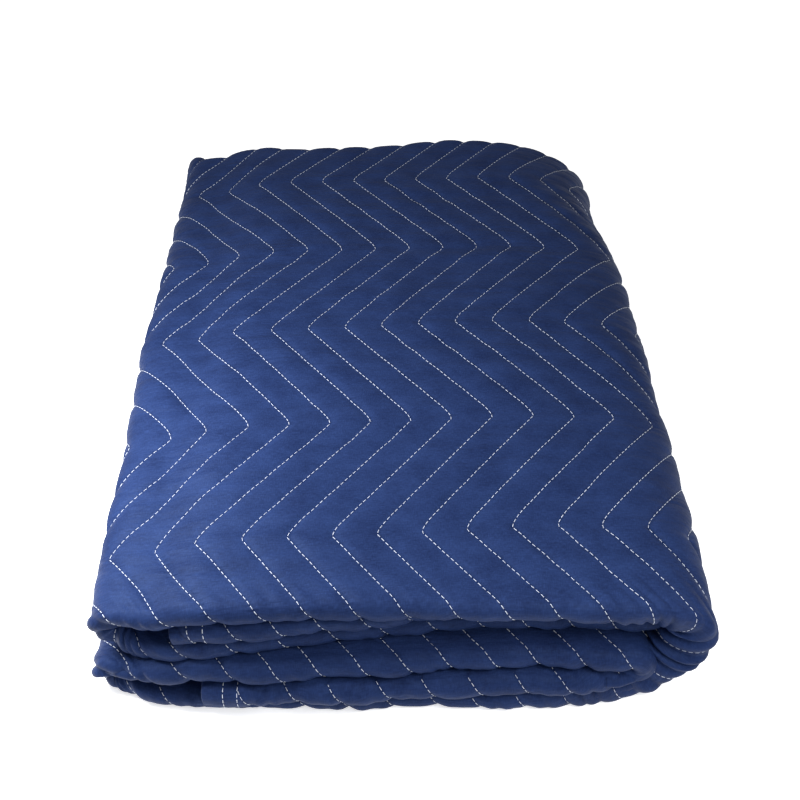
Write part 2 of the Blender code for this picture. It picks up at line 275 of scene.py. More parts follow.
def anchored_lengths(places, starts):
    """Length along the polyline, counted from the middle of the top panel, at x = 0."""
    lengths = lengths_of(places)
    index = [name for kind, name, before, after in COURSE].index("top")
    span = slice(starts[index], starts[index + 1])
    return lengths - np.interp(0.0, places[span, 0], lengths[span])


def free_ends(places, starts, lengths):
    """Lengths at which the strip's two free ends lie."""
    first, last = slice(starts[0], starts[1]), slice(starts[-2], starts[-1])
    low = np.interp(FREE_END["second"], places[first, 0], lengths[first])
    high = np.interp(-FREE_END["fifth"], -places[last, 0], lengths[last])
    return float(low), float(high)


def line_shift(along):
    """Sideways shift of the zigzag lines at a place along the cloth."""
    turns = (along - FIRST_TURNS) / TURN_SPACING
    band = np.floor(turns)
    behind = (turns - band) * TURN_SPACING
    eased = behind - TURN_EASE * (1.0 - np.exp(-behind / TURN_EASE))
    share = eased / (TURN_SPACING - TURN_EASE)
    return ZIGZAG_SHIFT * np.where(band % 2.0 == 0.0, share, 1.0 - share)


class Lattice:
    """The sheet's lattice: where its columns and rows lie on the cloth, and each point's place."""

    def __init__(self):
        self.make_course()
        self.make_columns()
        self.make_rows()
        self.make_places()

    def make_course(self):
        """The strip's middle at evenly spaced depths, each with its lengths from the top's middle."""
        names = [name for kind, name, before, after in COURSE]
        places, starts = strip_polyline(NOMINAL_FRONT)
        lengths = anchored_lengths(places, starts)
        self.nominal_x = (lengths, places[:, 0])
        self.bounds = {name: (lengths[starts[index]], lengths[min(starts[index + 1], len(lengths) - 1)])
                       for index, name in enumerate(names)}
        self.low_end, self.high_end = free_ends(places, starts, lengths)
        self.depths = np.arange(FRONT - 0.012, BACK + 0.012, DEPTH_STEP)
        self.course = []
        for depth in self.depths:
            places, starts = strip_polyline(depth)
            lengths = anchored_lengths(places, starts)
            low_end, high_end = free_ends(places, starts, lengths)
            low = lengths[starts[names.index("upper_left")]]
            high = lengths[starts[names.index("bottom")]]
            below, above = lengths < low, lengths > high
            lengths[below] = low + (lengths[below] - low) * (self.low_end - low) / (low_end - low)
            lengths[above] = high + (lengths[above] - high) * (self.high_end - high) / (high_end - high)
            self.course.append((lengths, places))

    def make_columns(self):
        """Columns that run along the stitch lines, closer together at the folds."""
        step = STITCH_PITCH / COLUMNS_PER_PITCH
        origin = FIRST_LINE + 0.5 * ZIGZAG_SHIFT
        low = math.ceil((self.low_end - origin) / step + 0.3)
        high = math.floor((self.high_end - origin) / step - 0.3)
        count = (high - low) // COARSE * COARSE
        base = origin + step * np.arange(low, low + count + 1)
        base[0], base[-1] = self.low_end, self.high_end
        columns = [base[0]]
        self.spans = []                 # first and last column, detail of the upper ply, whether dense
        for first in range(0, count, COARSE):
            cell = base[first:first + COARSE + 1]
            middle = cell[COARSE // 2]
            dense = any(self.bounds[fold][0] - gather_value(fold, "before") < middle
                        < self.bounds[fold][1] + gather_value(fold, "after") for fold in GATHERS)
            if self.bounds["upper_left"][0] - 0.035 < middle < self.bounds["big_right"][1] + 0.035:
                detail = "full"
            elif self.bounds["lower_left"][0] - 0.030 < middle < self.bounds["lower_left"][1] + 0.030:
                detail = "half"
            else:
                detail = "plain"
            start = len(columns) - 1
            if dense:
                halves = 0.5 * (cell[:-1] + cell[1:])
                cell = np.sort(np.concatenate([cell, halves]))
            columns.extend(cell[1:])
            if self.spans and self.spans[-1][2:] == (detail, dense):
                start = self.spans.pop()[0]
            self.spans.append((start, len(columns) - 1, detail, dense))
        self.columns = np.array(columns)
        reach = 0.110
        inside = np.minimum(self.columns - self.low_end, self.high_end - self.columns)
        self.follow = smoothstep(inside / reach)

    def make_rows(self):
        """Start of each stretch of the section among the rows."""
        self.row_starts = {}
        at = 0
        for name, count in SECTION:
            self.row_starts[name] = at
            at += count
        self.row_count = at + 1

    def edge_lines(self):
        """Front and back edge of the strip at each column."""
        lengths, across = self.nominal_x
        knots, fronts, backs = [], [], []
        for kind, name, before, after in COURSE:
            low, high = self.bounds[name]
            if kind == "panel":
                places = np.linspace(low, high, PANEL_POINTS)
                x = np.interp(places, lengths, across)
                knots.extend(places)
                fronts.extend(np.interp(x, EDGE_PLACES, FRONT_EDGES[name]))
                backs.extend(np.interp(x, EDGE_PLACES, BACK_EDGES[name]))
            else:
                end = 0 if name.endswith("left") else -1
                values = FOLDS_FRONT[name]
                knots.append(0.5 * (low + high))
                fronts.append(0.5 * (FRONT_EDGES[before][end] + FRONT_EDGES[after][end])
                              + values[FOLD_COLUMNS.index("front_inset")])
                backs.append(0.5 * (BACK_EDGES[before][end] + BACK_EDGES[after][end])
                             - values[FOLD_COLUMNS.index("back_inset")])
        grid = np.arange(self.low_end - 0.002, self.high_end + 0.004, 0.002)
        kernel = np.hanning(17)
        kernel /= kernel.sum()
        edges = []
        for values, waves in ((fronts, ((0.0006, 41.0, 0.4), (0.0005, 97.0, 0.0))),
                              (backs, ((0.0008, 37.0, 1.0), (0.0004, 83.0, 0.0)))):
            edge = np.convolve(np.pad(np.interp(grid, knots, values), 8, mode="edge"), kernel, mode="valid")
            edge = np.interp(self.columns, grid, edge)
            edges.append(edge + sum(rise * np.sin(turn * self.columns + shift) for rise, turn, shift in waves))
        return edges

    def make_places(self):
        columns = len(self.columns)
        front, back = self.edge_lines()
        shape = (columns, self.row_count)
        depth = np.zeros(shape)
        height = np.zeros(shape)
        along = np.zeros(shape)         # place along the cloth, equal to the depth on the upper ply
        slant = ROW_SLANT * np.clip(self.columns, -SLANT_REACH, SLANT_REACH)
        front_start = front + STRIP_HALF
        back_end = back - (INNER_PLY + 0.5 * SHEET)
        upper_depth = self.upper_depths(front_start, back_end, slant)
        for name, count in SECTION:
            start = self.row_starts[name]
            share = np.linspace(0.0, 1.0, count + 1)[None, :]
            rows = slice(start, start + count + 1)
            if name == "lower":
                depth[:, rows] = mix((back - OUTER_HEM_INSET)[:, None], front_start[:, None], share)
                height[:, rows] = -OUTER_PLY
                along[:, rows] = (2.0 * front_start[:, None] - depth[:, rows]) - math.pi * OUTER_PLY
            elif name == "front_fold":
                angle = math.pi * share
                depth[:, rows] = front_start[:, None] - OUTER_PLY * np.sin(angle)
                height[:, rows] = -OUTER_PLY * np.cos(angle)
                along[:, rows] = front_start[:, None] - OUTER_PLY * (math.pi - angle)
            elif name == "upper":
                depth[:, rows] = upper_depth
                height[:, rows] = OUTER_PLY
                along[:, rows] = upper_depth
            elif name == "back_fold":
                angle = math.pi * share
                depth[:, rows] = back_end[:, None] + INNER_PLY * np.sin(angle)
                height[:, rows] = PLY_PITCH + INNER_PLY * np.cos(angle)
                along[:, rows] = back_end[:, None] + INNER_PLY * angle
            elif name == "inner_upper":
                depth[:, rows] = mix(back_end[:, None], front_start[:, None], share)
                height[:, rows] = INNER_PLY
                along[:, rows] = back_end[:, None]
            elif name == "inner_fold":
                angle = math.pi * share
                depth[:, rows] = front_start[:, None] - INNER_PLY * np.sin(angle)
                height[:, rows] = INNER_PLY * np.cos(angle)
                along[:, rows] = back_end[:, None]
            else:
                depth[:, rows] = mix(front_start[:, None], (back - INNER_HEM_INSET)[:, None], share)
                height[:, rows] = -INNER_PLY
                along[:, rows] = back_end[:, None]
        self.depth, self.height = depth, height
        self.quilt_along = along - slant[:, None]
        across = self.columns[:, None] + (line_shift(self.quilt_along) - 0.5 * ZIGZAG_SHIFT) * self.follow[:, None]
        hidden_from = self.row_starts["inner_upper"]
        fade = np.ones(self.row_count)
        fade[hidden_from:] = np.clip(1.0 - np.arange(self.row_count - hidden_from) / 48.0, 0.0, 1.0)
        lower = self.row_starts["front_fold"]
        fade[:lower] = smoothstep((np.arange(lower) - (lower - 60)) / 40.0)
        across = self.columns[:, None] + (across - self.columns[:, None]) * fade[None, :]
        across[:, hidden_from:] = (self.columns[:, None]
                                   + (across[:, hidden_from - 1:hidden_from] - self.columns[:, None])
                                   * fade[None, hidden_from:])
        across[0, :] = self.low_end
        across[-1, :] = self.high_end
        self.across = across
        self.middle = self.carry(across, depth)
        step = np.gradient(self.middle, axis=0)
        flat = np.stack([-step[..., 2], np.zeros(shape), step[..., 0]], axis=-1)
        outward = flat / np.linalg.norm(flat, axis=-1, keepdims=True)
        self.sheet = self.middle + outward * height[..., None]
        self.outward = outward
        self.behind = np.clip(depth - front_start[:, None], 0.0, None)
        self.inner_side = 0.5 * (1.0 - height / OUTER_PLY)
        self.gather()

    def round_fold(self, fold):
        """How far each column takes part in the gathers of a fold, from 0 to 1."""
        before, after = gather_value(fold, "before"), gather_value(fold, "after")
        low, high = self.bounds[fold]
        return (smoothstep((self.columns - low + before) / (before + 0.25 * (high - low)))
                * smoothstep((high + after - self.columns) / (after + 0.25 * (high - low))))

    def gather(self):
        """Push the inner side of the front edge in and back at the folds, and let the lower free end droop."""
        for fold in GATHERS:
            reach = np.exp(-(self.behind / gather_value(fold, "reach")) ** 2)
            share = self.round_fold(fold)[:, None] * self.inner_side * reach
            self.sheet -= self.outward * (gather_value(fold, "inward") * share)[..., None]
            self.sheet[..., 1] += gather_value(fold, "back") * share
        near_end = smoothstep(1.0 - (self.high_end - self.columns) / 0.050)[:, None]
        droop = HEM_DROOP * near_end * (1.0 - self.inner_side) * np.exp(-(self.behind / 0.010) ** 2)
        self.sheet[..., 2] -= droop

    def upper_depths(self, front_start, back_end, slant):
        """Depths of the upper ply's rows, with the rows of turns on rows of their own."""
        knots = [front_start] + [FIRST_TURNS + TURN_SPACING * turn + slant for turn in range(TURN_ROWS)] + [back_end]
        parts = []
        for index, count in enumerate(UPPER_BANDS):
            share = np.linspace(0.0, 1.0, count + 1)[None, :]
            part = mix(knots[index][:, None], knots[index + 1][:, None], share)
            parts.append(part if index == len(UPPER_BANDS) - 1 else part[:, :-1])
        return np.concatenate(parts, axis=1)

    def carry(self, across, depth):
        """Places in the folds of points of the strip's middle."""
        place = np.zeros(across.shape + (3,))
        index = (depth - self.depths[0]) / DEPTH_STEP
        low = np.floor(index).astype(int)
        share = index - low
        for number, (lengths, places) in enumerate(self.course):
            for offset, weight in ((0, 1.0 - share), (1, share)):
                chosen = low + offset == number
                if chosen.any():
                    at = across[chosen]
                    weights = weight[chosen]
                    place[chosen, 0] += weights * np.interp(at, lengths, places[:, 0])
                    place[chosen, 2] += weights * np.interp(at, lengths, places[:, 1])
        place[..., 1] = depth
        return place


def surface_normals(places):
    across = np.gradient(places, axis=0)
    along = np.gradient(places, axis=1)
    normal = np.cross(across, along)
    return normal / np.maximum(np.linalg.norm(normal, axis=-1, keepdims=True), 1e-12)


def line_place(lattice):
    """Each point's place among the stitch lines: a whole number on a line."""
    return (lattice.across - FIRST_LINE - line_shift(lattice.quilt_along)) / STITCH_PITCH


def quilting(lattice):
    """Height of the quilted cloth over the plain sheet, sewn down along the stitch lines."""
    place = line_place(lattice)
    away = np.abs(place - np.round(place)) * STITCH_PITCH
    valley = VALLEY_DEPTH * (1.0 - np.exp(-(away / VALLEY_WIDTH) ** 1.4))
    crown = CROWN_RISE * np.sin(math.pi * away / STITCH_PITCH)
    puff = 1.0 + 0.25 * np.sin(lattice.across * 61.0 + lattice.quilt_along * 47.0) \
        + 0.20 * np.sin(lattice.across * 29.0 - lattice.quilt_along * 83.0 + 1.3)
    weight = np.ones(lattice.row_count)
    weight[:lattice.row_starts["front_fold"] - 8] = 0.0
    weight[lattice.row_starts["inner_upper"]:] = 0.0
    return (valley + crown) * puff * weight[None, :]


# Soft wrinkles on the top panel: place of the middle, length, width, height of the ridge (negative for a
# trough), and turn in degrees
WRINKLES = (
    (-0.095, 0.100, 0.090, 0.010, -0.0007, 2),
    (-0.080, 0.086, 0.070, 0.008, 0.0006, 3),
    (-0.070, 0.072, 0.080, 0.008, -0.0006, 1),
    (0.060, 0.086, 0.110, 0.009, -0.0008, 3),
    (0.075, 0.076, 0.090, 0.008, 0.0006, 4),
    (-0.110, -0.060, 0.070, 0.007, -0.0006, 2),
    (-0.060, -0.075, 0.110, 0.008, -0.0007, 3),
    (-0.040, -0.090, 0.090, 0.007, 0.0006, 1),
    (-0.020, -0.105, 0.100, 0.008, -0.0006, 3),
    (0.020, -0.020, 0.090, 0.009, -0.0005, 4),
    (0.090, -0.030, 0.070, 0.008, 0.0005, 2),
    (-0.020, 0.030, 0.110, 0.010, 0.0006, 3),
    (0.030, 0.150, 0.100, 0.010, -0.0006, 4),
    (-0.060, 0.180, 0.080, 0.009, 0.0005, 2),
)

WRINKLE_SCALE = 1.5
RIPPLE_RISE = 0.00034           # of the finer ripples, which come and go over the panel


def wrinkles(lattice):
    x, y = lattice.across, lattice.depth
    total = np.zeros(x.shape)
    for at_x, at_y, length, width, rise, turn in WRINKLES:
        angle = math.radians(turn)
        run = (x - at_x) * math.cos(angle) + (y - at_y) * math.sin(angle)
        side = (y - at_y) * math.cos(angle) - (x - at_x) * math.sin(angle)
        side = side + 0.0015 * np.sin(run * 90.0 + at_x * 50.0)
        total += WRINKLE_SCALE * rise * np.exp(-(run / (0.5 * length)) ** 2 - (side / (0.5 * width)) ** 2)
    patchy = 0.5 + 0.5 * np.sin(17.0 * x + 26.0 * y + 1.1) * np.sin(21.0 * x - 15.0 * y + 0.4)
    total += RIPPLE_RISE * patchy * np.sin(430.0 * y + 34.0 * x + 2.2 * np.sin(37.0 * x + 0.7) + 1.5 * np.sin(61.0 * y))
    upper = np.zeros(lattice.row_count)
    start = lattice.row_starts["upper"]
    upper[start:lattice.row_starts["back_fold"]] = 1.0
    return total * upper[None, :]


def pleat_wave(u, length):
    """Rounded pleats with sharp creases between them, uneven in length."""
    phase = u / length + 0.30 * np.sin(u * 97.0 + 0.5) + 0.18 * np.sin(u * 231.0)
    return 2.0 * np.abs(np.sin(math.pi * phase)) ** 0.8 - 1.2


def pleats(lattice):
    """Pleats where the doubled front edge is pulled round the folds, and small puckers along all of it."""
    u = lattice.columns
    near = np.ones(lattice.row_count)
    near[lattice.row_starts["back_fold"]:] = 0.0
    total = np.zeros(lattice.depth.shape)
    for fold in GATHERS:
        share = lattice.round_fold(fold) * pleat_wave(u, gather_value(fold, "pleat"))
        rise = mix(gather_value(fold, "outer_rise"), gather_value(fold, "inner_rise"), lattice.inner_side)
        reach = gather_value(fold, "reach")
        deep = mix(0.5 * reach, reach, lattice.inner_side)
        total += share[:, None] * rise * np.exp(-(lattice.behind / deep) ** 1.5)
    pucker = (0.00028 * np.sin(u * 610.0 + 3.0 * np.sin(u * 43.0)) * (0.6 + 0.6 * np.sin(u * 71.0))
              + 0.00022 * np.sin(u * 377.0 + 2.0 * np.sin(u * 29.0 + 1.0)))
    total += pucker[:, None] * np.exp(-(lattice.behind / 0.009) ** 1.5)
    return total * near[None, :]


def build_surfaces(lattice):
    """Outer and inner surface of the quilted sheet."""
    normal = surface_normals(lattice.sheet)
    rise = quilting(lattice) + wrinkles(lattice) + pleats(lattice)
    outer = lattice.sheet + normal * (0.5 * SHEET - SEWN_IN + rise)[..., None]
    inner = lattice.sheet - normal * (0.5 * SHEET)
    for surface in (outer, inner):
        surface[..., 0] += CENTRE[0]
        surface[..., 1] += CENTRE[1]
        surface[..., 2] = np.maximum(surface[..., 2], 0.0)
    return outer, inner, surface_normals(outer)


def blocks_of(lattice):
    """Blocks of the lattice with the steps at which their columns and rows are kept."""
    starts = lattice.row_starts
    front, upper, back = starts["front_fold"], starts["upper"], starts["back_fold"]
    inner, turn, lower = starts["inner_upper"], starts["inner_fold"], starts["inner_lower"]
    last = lattice.row_count - 1
    blocks = []
    for low, high, detail, dense in lattice.spans:
        unit = 2 if dense else 1
        rows = [(0, 8, 4, 4), (8, front - 16, 8, 8), (front - 16, front, 1 if dense else 4, 1 if dense else 4),
                (front, upper, 1, 1)]
        if detail == "full":
            rows += [(upper, upper + 16, 1, 1), (upper + 16, back, unit, 1)]
        elif detail == "half":
            rows += [(upper, upper + 16, 1, 1), (upper + 16, back - 8, 2 * unit, 2), (back - 8, back, 2 * unit, 2)]
        else:
            rows += [(upper, upper + 16, 2, 2), (upper + 16, back - 8, 8, 8), (back - 8, back, 2 * unit, 2)]
        rows += [(back, inner, 2 * unit, 1), (inner, turn, 8, 8), (turn, lower, 8, 1), (lower, last - 8, 8, 8),
                 (last - 8, last, 4, 4)]
        blocks += [(low, high) + row for row in rows]
    return blocks


def inner_blocks_of(lattice):
    starts = lattice.row_starts
    columns = len(lattice.columns) - 1
    return [
        (0, columns, 0, starts["front_fold"], 8, 8),
        (0, columns, starts["front_fold"], starts["upper"], 8, 2),
        (0, columns, starts["upper"], starts["back_fold"], 8, 8),
        (0, columns, starts["back_fold"], starts["inner_upper"], 8, 2),
        (0, columns, starts["inner_upper"], starts["inner_fold"], 8, 8),
        (0, columns, starts["inner_fold"], starts["inner_lower"], 8, 1),
        (0, columns, starts["inner_lower"], lattice.row_count - 1, 8, 8),
    ]


def kept_points(blocks, shape):
    kept = np.zeros(shape, dtype=bool)
    for low, high, near, far, step_across, step_along in blocks:
        kept[low:high + 1:step_across, near:far + 1:step_along] = True
    return kept


def block_faces(blocks, kept):
    """Faces of the blocks as lists of lattice points; a coarse cell takes in its finer neighbours' points."""
    faces = []
    for low, high, near, far, step_across, step_along in blocks:
        for c in range(low, high, step_across):
            d = c + step_across
            for r in range(near, far, step_along):
                s = r + step_along
                if step_across == 1 and step_along == 1:
                    faces.append(((c, r), (d, r), (d, s), (c, s)))
                    continue
                face = [(i, r) for i in range(c, d) if kept[i, r]]
                face += [(d, j) for j in range(r, s) if kept[d, j]]
                face += [(i, s) for i in range(d, c, -1) if kept[i, s]]
                face += [(c, j) for j in range(s, r, -1) if kept[c, j]]
                faces.append(tuple(face))
    return faces


def border_points(kept):
    """The kept points round the lattice's border, in order."""
    columns, rows = kept.shape
    border = [(c, 0) for c in range(columns - 1) if kept[c, 0]]
    border += [(columns - 1, r) for r in range(rows - 1) if kept[columns - 1, r]]
    border += [(c, rows - 1) for c in range(columns - 1, 0, -1) if kept[c, rows - 1]]
    border += [(0, r) for r in range(rows - 1, 0, -1) if kept[0, r]]
    return border


def build_cloth(lattice, outer, inner):
    """One closed mesh: the outer surface, the inner surface and a rounded edge between them."""
    outer_blocks = blocks_of(lattice)
    inner_blocks = inner_blocks_of(lattice)
    kept_outer = kept_points(outer_blocks, lattice.depth.shape)
    kept_inner = kept_points(inner_blocks, lattice.depth.shape)
    border = border_points(kept_outer)
    for point in border:
        kept_inner[point] = True
    points, flat, quilt = [], [], []
    numbers = []
    place = line_place(lattice)
    for kept, surface in ((kept_outer, outer), (kept_inner, inner)):
        number = np.full(kept.shape, -1, dtype=int)
        number[kept] = np.arange(kept.sum()) + len(points)
        points.extend(surface[kept])
        flat.extend(np.stack([lattice.across[kept], lattice.quilt_along[kept]], axis=1))
        quilt.extend(np.stack([place[kept], lattice.quilt_along[kept]], axis=1))
        numbers.append(number)
    faces = [[numbers[0][point] for point in face] for face in block_faces(outer_blocks, kept_outer)]
    faces += [[numbers[1][point] for point in face][::-1] for face in block_faces(inner_blocks, kept_inner)]
    first = len(points)
    for column, row in border:
        beyond_c = 1 if column == 0 else column - 1 if column == kept_outer.shape[0] - 1 else column
        beyond_r = 1 if row == 0 else row - 1 if row == kept_outer.shape[1] - 1 else row
        away = lattice.sheet[column, row] - lattice.sheet[beyond_c, beyond_r]
        away = away / max(float(np.linalg.norm(away)), 1e-9)
        middle = 0.5 * (outer[column, row] + inner[column, row])
        point = middle + away * HEM_ROUNDING
        point[2] = max(point[2], 0.0)
        points.append(point)
        flat.append((lattice.across[column, row], lattice.quilt_along[column, row]))
        quilt.append((place[column, row], lattice.quilt_along[column, row]))
    count = len(border)
    for index in range(count):
        after = (index + 1) % count
        faces.append([numbers[0][border[after]], numbers[0][border[index]], first + index, first + after])
        faces.append([first + after, first + index, numbers[1][border[index]], numbers[1][border[after]]])
    mesh = bpy.data.meshes.new("quilted_cloth")
    mesh.from_pydata([tuple(point) for point in points], [], [[int(corner) for corner in face] for face in faces])
    mesh.update()
    corners = np.zeros(len(mesh.loops), dtype=np.int32)
    mesh.loops.foreach_get("vertex_index", corners)
    for name, places in (("cloth", flat), ("quilt", quilt)):
        layer = mesh.uv_layers.new(name=name)
        layer.data.foreach_set("uv", np.array(places, dtype=np.float32)[corners].ravel())
    mesh.shade_smooth()
    cloth = bpy.data.objects.new("quilted_cloth", mesh)
    bpy.context.scene.collection.objects.link(cloth)
    return cloth


# Thread
STITCH_LENGTH = 0.0036          # from one stitch to the next
THREAD_SHOWN = 0.0030           # of it, the thread that shows
THREAD_RADIUS = 0.00019
THREAD_RINGS = ((0.0, 0.35, -0.00028), (0.18, 1.0, 0.00008), (0.82, 1.0, 0.00008), (1.0, 0.35, -0.00028))
THREAD_SIDES = 4
HEM_ROWS = (0.0115, 0.0195)     # the hem's two rows of stitches, from the free end
HIDDEN_ROWS = 14                # lattice rows that thread runs on under the front fold
FRONT_ROWS = 12                 # lattice rows that thread runs on behind the front fold


def thread_lines(lattice, outer, normal):
    """Places and normals along each stitch line, on the parts of the sheet where it may show."""
    place = line_place(lattice)
    low, high = math.ceil(place.min()), math.floor(place.max())
    starts = lattice.row_starts
    rows = range(starts["front_fold"] - HIDDEN_ROWS, starts["inner_upper"] + 1)
    lines = []
    for line in range(low, high + 1):
        run = []
        for row in rows:
            across = place[:, row]
            spare = HEM_ROWS[-1] / STITCH_PITCH
            if not across[0] + spare < line < across[-1] - spare:
                if run:
                    lines.append(run)
                run = []
                continue
            column = int(np.searchsorted(across, line)) - 1
            share = (line - across[column]) / (across[column + 1] - across[column])
            run.append((mix(outer[column, row], outer[column + 1, row], share),
                        mix(normal[column, row], normal[column + 1, row], share),
                        column, row))
        if run:
            lines.append(run)
    return lines


def shown_pieces(lattice, lines):
    """Cut the stitch lines to the places where their thread may be seen."""
    starts = lattice.row_starts
    fine_low = lattice.bounds["upper_left"][0] - 0.010
    fine_high = lattice.bounds["big_right"][1] + 0.010
    low_low, low_high = lattice.bounds["lower_left"][0] - 0.004, lattice.bounds["lower_left"][1] + 0.004
    cut = []
    for run in lines:
        part = []
        for place, normal, column, row in run:
            u = lattice.across[column, row]
            near_front = row < starts["upper"] + FRONT_ROWS
            near_back = row > starts["back_fold"] - 6
            on_top = fine_low < u < fine_high or low_low < u < low_high
            if near_front or near_back or on_top:
                part.append((place, normal))
            elif part:
                cut.append(part)
                part = []
        if part:
            cut.append(part)
    return [part for part in cut if len(part) > 3]


def hem_lines(lattice, outer, normal):
    """Two rows of stitches beside each free end."""
    starts = lattice.row_starts
    lines = []
    for end, sign in ((lattice.low_end, 1.0), (lattice.high_end, -1.0)):
        for inset in HEM_ROWS:
            target = end + sign * inset
            run = []
            for row in range(starts["front_fold"] - HIDDEN_ROWS, starts["upper"] + FRONT_ROWS):
                across = lattice.across[:, row]
                column = int(np.searchsorted(across, target)) - 1
                share = (target - across[column]) / (across[column + 1] - across[column])
                run.append((mix(outer[column, row], outer[column + 1, row], share),
                            mix(normal[column, row], normal[column + 1, row], share)))
            lines.append(run)
    return lines


def stitched(lines, length, shown):
    """Middles, directions and normals of the rings of every stitch on the lines."""
    centres, tangents, normals = [], [], []
    nearby = 0.0006
    for number, line in enumerate(lines):
        places = np.array([place for place, normal in line])
        ups = np.array([normal for place, normal in line])
        at = lengths_of(places)
        count = int(at[-1] / length)
        if count < 1:
            continue
        starts = (0.37 * number % 1.0) * length * 0.5 + length * np.arange(count)
        starts = starts[starts + shown < at[-1]]
        for part, _, rise in THREAD_RINGS:
            where = starts + part * shown
            place = np.stack([np.interp(where, at, places[:, axis]) for axis in range(3)], axis=1)
            ahead = np.stack([np.interp(where + nearby, at, places[:, axis]) for axis in range(3)], axis=1)
            behind = np.stack([np.interp(where - nearby, at, places[:, axis]) for axis in range(3)], axis=1)
            up = np.stack([np.interp(where, at, ups[:, axis]) for axis in range(3)], axis=1)
            up /= np.linalg.norm(up, axis=1, keepdims=True)
            tangent = ahead - behind
            tangent /= np.maximum(np.linalg.norm(tangent, axis=1, keepdims=True), 1e-9)
            centres.append(place + up * rise)
            tangents.append(tangent)
            normals.append(up)
    return centres, tangents, normals


def build_thread(name, lines, length, shown):
    centres, tangents, normals = stitched(lines, length, shown)
    rings = len(THREAD_RINGS)
    points, faces = [], []
    for group in range(0, len(centres), rings):
        count = len(centres[group])
        base = len(points)
        block = np.zeros((count, rings, THREAD_SIDES, 3))
        for ring in range(rings):
            centre, tangent, up = centres[group + ring], tangents[group + ring], normals[group + ring]
            side = np.cross(tangent, up)
            side /= np.maximum(np.linalg.norm(side, axis=1, keepdims=True), 1e-9)
            radius = THREAD_RADIUS * THREAD_RINGS[ring][1]
            for corner in range(THREAD_SIDES):
                angle = 2.0 * math.pi * corner / THREAD_SIDES
                block[:, ring, corner] = centre + radius * (math.cos(angle) * side + math.sin(angle) * up)
        block[..., 2] = np.maximum(block[..., 2], 0.0)
        points.extend(block.reshape(-1, 3))
        for stitch in range(count):
            start = base + stitch * rings * THREAD_SIDES
            for ring in range(rings - 1):
                for corner in range(THREAD_SIDES):
                    after = (corner + 1) % THREAD_SIDES
                    a, b = start + ring * THREAD_SIDES, start + (ring + 1) * THREAD_SIDES
                    faces.append((a + corner, a + after, b + after, b + corner))
            last = start + (rings - 1) * THREAD_SIDES
            faces.append(tuple(start + corner for corner in range(THREAD_SIDES))[::-1])
            faces.append(tuple(last + corner for corner in range(THREAD_SIDES)))
    mesh = bpy.data.meshes.new(name)
    mesh.from_pydata([tuple(point) for point in points], [], faces)
    mesh.update()
    mesh.shade_smooth()
    thread = bpy.data.objects.new(name, mesh)
    bpy.context.scene.collection.objects.link(thread)
    return thread


def node(tree, kind, **values):
    made = tree.nodes.new(kind)
    for key, value in values.items():
        setattr(made, key, value)
    return made


def noise_of(tree, layer, scale, detail):
    """Noise over a layer of the cloth's coordinates, stretched by a scale for each direction."""
    source = node(tree, "ShaderNodeUVMap", uv_map=layer)
    stretch = node(tree, "ShaderNodeMapping")
    stretch.inputs["Scale"].default_value = (scale[0], scale[1], 1.0)
    noise = node(tree, "ShaderNodeTexNoise", noise_dimensions="2D")
    noise.inputs["Scale"].default_value = 1.0
    noise.inputs["Detail"].default_value = detail
    tree.links.new(source.outputs["UV"], stretch.inputs["Vector"])
    tree.links.new(stretch.outputs["Vector"], noise.inputs["Vector"])
    return noise.outputs["Fac"]


def math_of(tree, operation, *values):
    made = node(tree, "ShaderNodeMath", operation=operation)
    for index, value in enumerate(values):
        if isinstance(value, float):
            made.inputs[index].default_value = value
        else:
            tree.links.new(value, made.inputs[index])
    return made.outputs["Value"]


